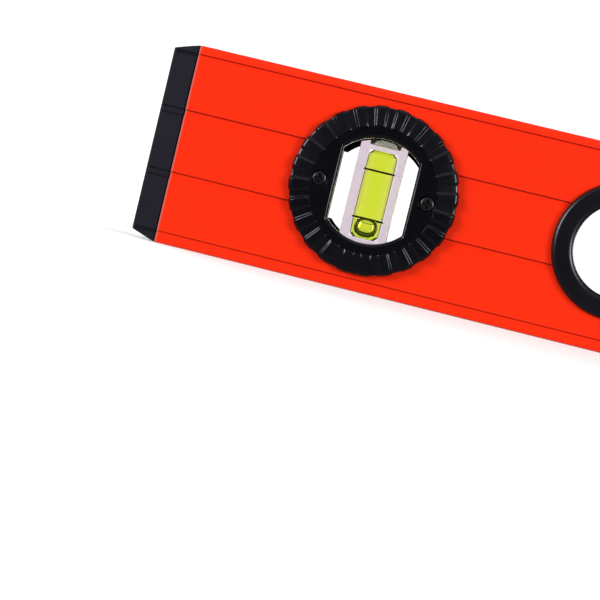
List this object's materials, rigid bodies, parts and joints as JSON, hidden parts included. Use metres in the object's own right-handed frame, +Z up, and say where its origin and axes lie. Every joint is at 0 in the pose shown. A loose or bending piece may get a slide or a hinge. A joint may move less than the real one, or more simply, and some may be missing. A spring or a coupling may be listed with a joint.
{
  "type": "spirit level",
  "caption": "Box-section spirit level with hand holes, a centre vial and turnable plumb vials behind ribbed thumb rings and graduated lenses.",
  "frame": {"origin": "middle of the level's base, on the surface that it stands on", "axes": "+X along the beam, +Y towards the back face, +Z up, away from the base"},
  "size_m": [0.6, 0.032, 0.06],
  "materials": {
    "orange_paint": "orange-red powder coat on aluminium, with a bare milled base",
    "cap_plastic": "moulded charcoal plastic",
    "grip_plastic": "moulded near-black plastic",
    "dial_plastic": "moulded black plastic, semi-gloss",
    "dark_steel": "black-oxide screws",
    "clear_lens": "clear polished cover",
    "acrylic": "polished acrylic with a faint lilac tint",
    "liquid": "clear yellow-green liquid",
    "bubble_gas": "clear bubble",
    "line_ink": "black line",
    "rubber": "soft black rubber",
    "scale_print": "dark printed scale ring"
  },
  "bodies": {
    "level": {"beam": "orange_paint", "end_cap_left": "cap_plastic", "end_cap_right": "cap_plastic", "grip_left_front": "grip_plastic", "grip_left_back": "grip_plastic", "grip_right_front": "grip_plastic", "grip_right_back": "grip_plastic", "centre_frame_front": "dial_plastic", "centre_frame_back": "dial_plastic", "centre_frame_screws": "dark_steel", "centre_top_lens": "clear_lens", "centre_vial_block": "acrylic", "centre_vial_liquid": "liquid", "centre_vial_lines": "line_ink", "centre_vial_plug": "acrylic", "dial_housing_left": "dial_plastic", "scale_lens_left": "clear_lens", "scale_ring_left": "scale_print", "dial_housing_right": "dial_plastic", "scale_lens_right": "clear_lens", "scale_ring_right": "scale_print"},
    "centre_bubble": {"centre_bubble": "bubble_gas"},
    "rotary_vial_left": {"thumb_ring_left": "dial_plastic", "vial_carrier_left": "dial_plastic", "friction_ring_left": "rubber", "ring_screws_left": "dark_steel", "plumb_block_left": "acrylic", "plumb_liquid_left": "liquid", "plumb_lines_left": "line_ink", "plumb_plug_left": "acrylic"},
    "plumb_bubble_left": {"plumb_bubble_left": "bubble_gas"},
    "rotary_vial_right": {"thumb_ring_right": "dial_plastic", "vial_carrier_right": "dial_plastic", "friction_ring_right": "rubber", "ring_screws_right": "dark_steel", "plumb_block_right": "acrylic", "plumb_liquid_right": "liquid", "plumb_lines_right": "line_ink", "plumb_plug_right": "acrylic"},
    "plumb_bubble_right": {"plumb_bubble_right": "bubble_gas"}
  },
  "joints": [
    {"name": "rotary_vial_left_turn", "type": "hinge", "parent": "level", "child": "rotary_vial_left", "pos_m": [-0.2326, 0, 0.03], "axis": [0, -1, 0], "continuous": true},
    {"name": "rotary_vial_right_turn", "type": "hinge", "parent": "level", "child": "rotary_vial_right", "pos_m": [0.2326, 0, 0.03], "axis": [0, 1, 0], "continuous": true},
    {"name": "plumb_bubble_left_slide", "type": "slide", "parent": "rotary_vial_left", "child": "plumb_bubble_left", "axis": [0, 0, 1], "range_m": [0, 0.0195]},
    {"name": "plumb_bubble_right_slide", "type": "slide", "parent": "rotary_vial_right", "child": "plumb_bubble_right", "axis": [0, 0, 1], "range_m": [-0.0167, 0.0028]},
    {"name": "centre_bubble_slide", "type": "slide", "parent": "level", "child": "centre_bubble", "axis": [1, 0, 0], "range_m": [-0.011, 0.011]}
  ]
}
